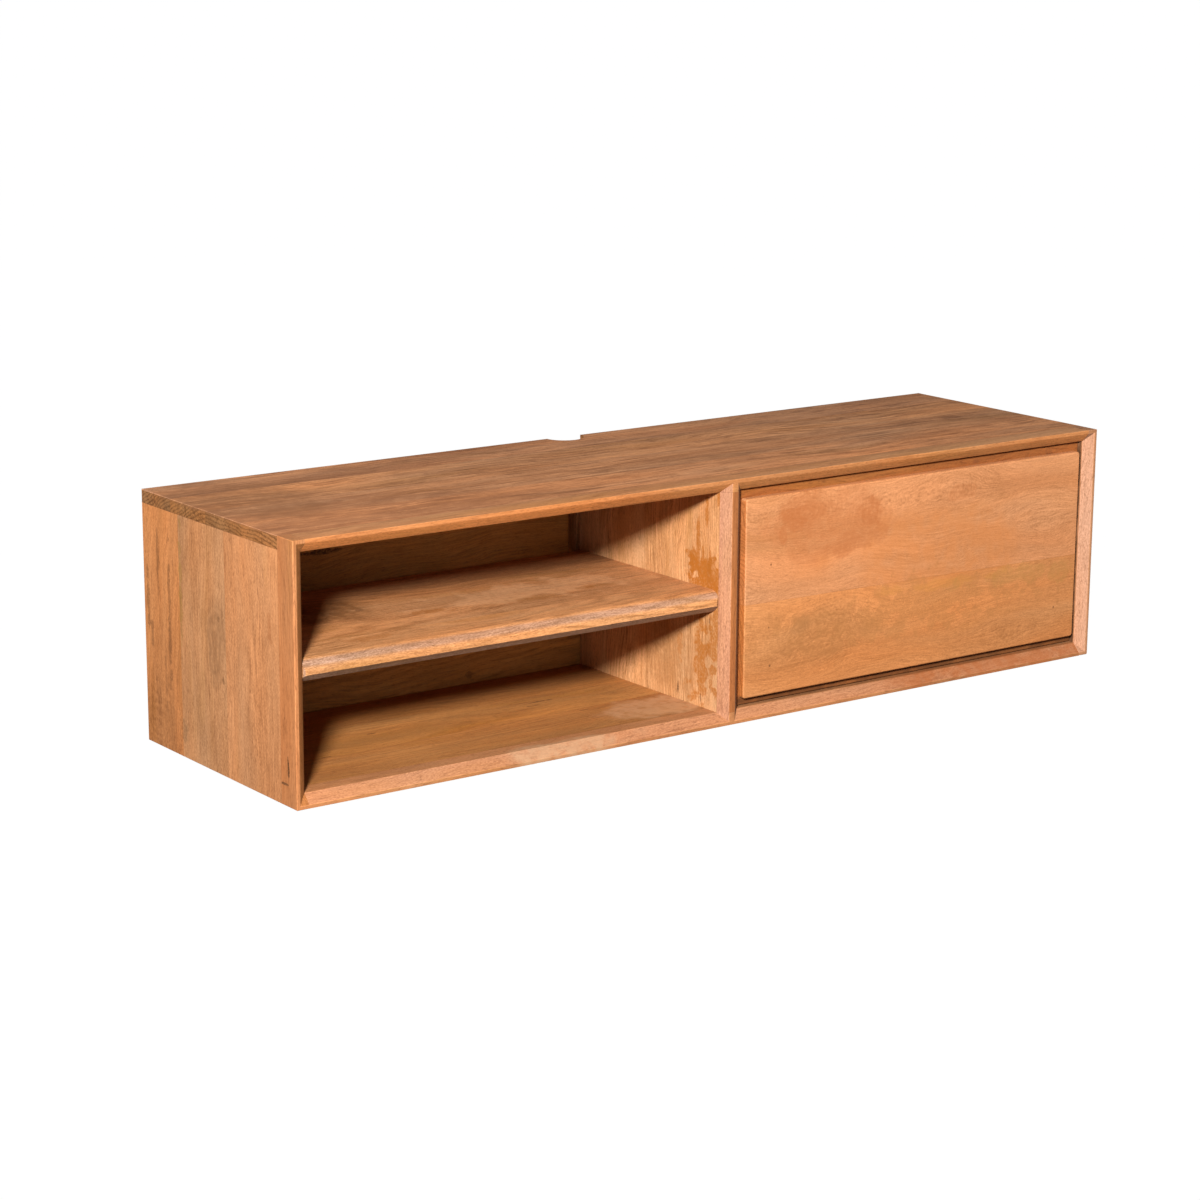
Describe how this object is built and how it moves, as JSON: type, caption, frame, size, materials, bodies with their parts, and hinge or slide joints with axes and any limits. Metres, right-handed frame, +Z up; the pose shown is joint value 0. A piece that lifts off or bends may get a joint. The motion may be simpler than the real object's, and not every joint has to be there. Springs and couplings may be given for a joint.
{
  "type": "floating media console",
  "caption": "Wall-hung hardwood console with a bevelled face frame, an open shelved bay on the left and a wide drawer on ball-bearing runners on the right.",
  "frame": {"origin": "centre of the case's footprint, on its underside", "axes": "+X to the right seen from the front, +Y back towards the wall, +Z up; the front faces -Y"},
  "size_m": [1.4, 0.4, 0.35],
  "materials": {
    "oiled_hardwood": "oiled satin, figured grain with small knots",
    "drawer_box_wood": "planed, thin oil",
    "plywood": "sanded plywood",
    "dowel_wood": "fluted beech",
    "screw_steel": "zinc plated",
    "zinc_steel": "rolled and zinc plated",
    "cage_steel": "pressed strip",
    "ball_steel": "polished"
  },
  "bodies": {
    "case": {"left_stile": "oiled_hardwood", "right_stile": "oiled_hardwood", "centre_stile": "oiled_hardwood", "top_rail": "oiled_hardwood", "bottom_rail": "oiled_hardwood", "top_panel": "oiled_hardwood", "bottom_panel": "oiled_hardwood", "left_side_panel": "oiled_hardwood", "right_side_panel": "oiled_hardwood", "centre_divider": "oiled_hardwood", "back_panel_left": "oiled_hardwood", "back_panel_right": "oiled_hardwood", "shelf": "oiled_hardwood", "hanging_rail_left": "oiled_hardwood", "hanging_rail_right": "oiled_hardwood", "wall_rail": "oiled_hardwood", "runner_packer": "drawer_box_wood", "frame_dowels": "dowel_wood", "case_dowels": "dowel_wood", "shelf_dowels": "dowel_wood", "packer_screws": "screw_steel", "hanging_rail_screws": "screw_steel", "runner_case_screws": "screw_steel", "left_runner_outer": "zinc_steel", "right_runner_outer": "zinc_steel"},
    "drawer": {"drawer_subfront": "oiled_hardwood", "drawer_front_panel": "oiled_hardwood", "drawer_side_left": "drawer_box_wood", "drawer_side_right": "drawer_box_wood", "drawer_back": "drawer_box_wood", "drawer_bottom": "plywood", "drawer_dowels": "dowel_wood", "drawer_front_screws": "screw_steel", "runner_drawer_screws": "screw_steel", "left_runner_inner": "zinc_steel", "right_runner_inner": "zinc_steel"},
    "left_runner_middle_body": {"left_runner_middle": "zinc_steel"},
    "left_runner_outer_cage_body": {"left_runner_outer_cage": "cage_steel", "left_runner_outer_balls": "ball_steel"},
    "left_runner_inner_cage_body": {"left_runner_inner_cage": "cage_steel", "left_runner_inner_balls": "ball_steel"},
    "right_runner_middle_body": {"right_runner_middle": "zinc_steel"},
    "right_runner_outer_cage_body": {"right_runner_outer_cage": "cage_steel", "right_runner_outer_balls": "ball_steel"},
    "right_runner_inner_cage_body": {"right_runner_inner_cage": "cage_steel", "right_runner_inner_balls": "ball_steel"}
  },
  "joints": [
    {"name": "drawer_slide", "type": "slide", "parent": "case", "child": "drawer", "axis": [0, -1, 0], "range_m": [0, 0.25]},
    {"name": "left_middle_slide", "type": "slide", "parent": "case", "child": "left_runner_middle_body", "axis": [0, -1, 0], "range_m": [0, 0.125]},
    {"name": "left_outer_cage_slide", "type": "slide", "parent": "case", "child": "left_runner_outer_cage_body", "axis": [0, -1, 0], "range_m": [0, 0.0625]},
    {"name": "left_inner_cage_slide", "type": "slide", "parent": "case", "child": "left_runner_inner_cage_body", "axis": [0, -1, 0], "range_m": [0, 0.1875]},
    {"name": "right_middle_slide", "type": "slide", "parent": "case", "child": "right_runner_middle_body", "axis": [0, -1, 0], "range_m": [0, 0.125]},
    {"name": "right_outer_cage_slide", "type": "slide", "parent": "case", "child": "right_runner_outer_cage_body", "axis": [0, -1, 0], "range_m": [0, 0.0625]},
    {"name": "right_inner_cage_slide", "type": "slide", "parent": "case", "child": "right_runner_inner_cage_body", "axis": [0, -1, 0], "range_m": [0, 0.1875]}
  ],
  "couplings": [
    {"joint": "left_middle_slide", "follows": "drawer_slide", "ratio": 0.5},
    {"joint": "left_outer_cage_slide", "follows": "drawer_slide", "ratio": 0.25},
    {"joint": "left_inner_cage_slide", "follows": "drawer_slide", "ratio": 0.75},
    {"joint": "right_middle_slide", "follows": "drawer_slide", "ratio": 0.5},
    {"joint": "right_outer_cage_slide", "follows": "drawer_slide", "ratio": 0.25},
    {"joint": "right_inner_cage_slide", "follows": "drawer_slide", "ratio": 0.75}
  ]
}
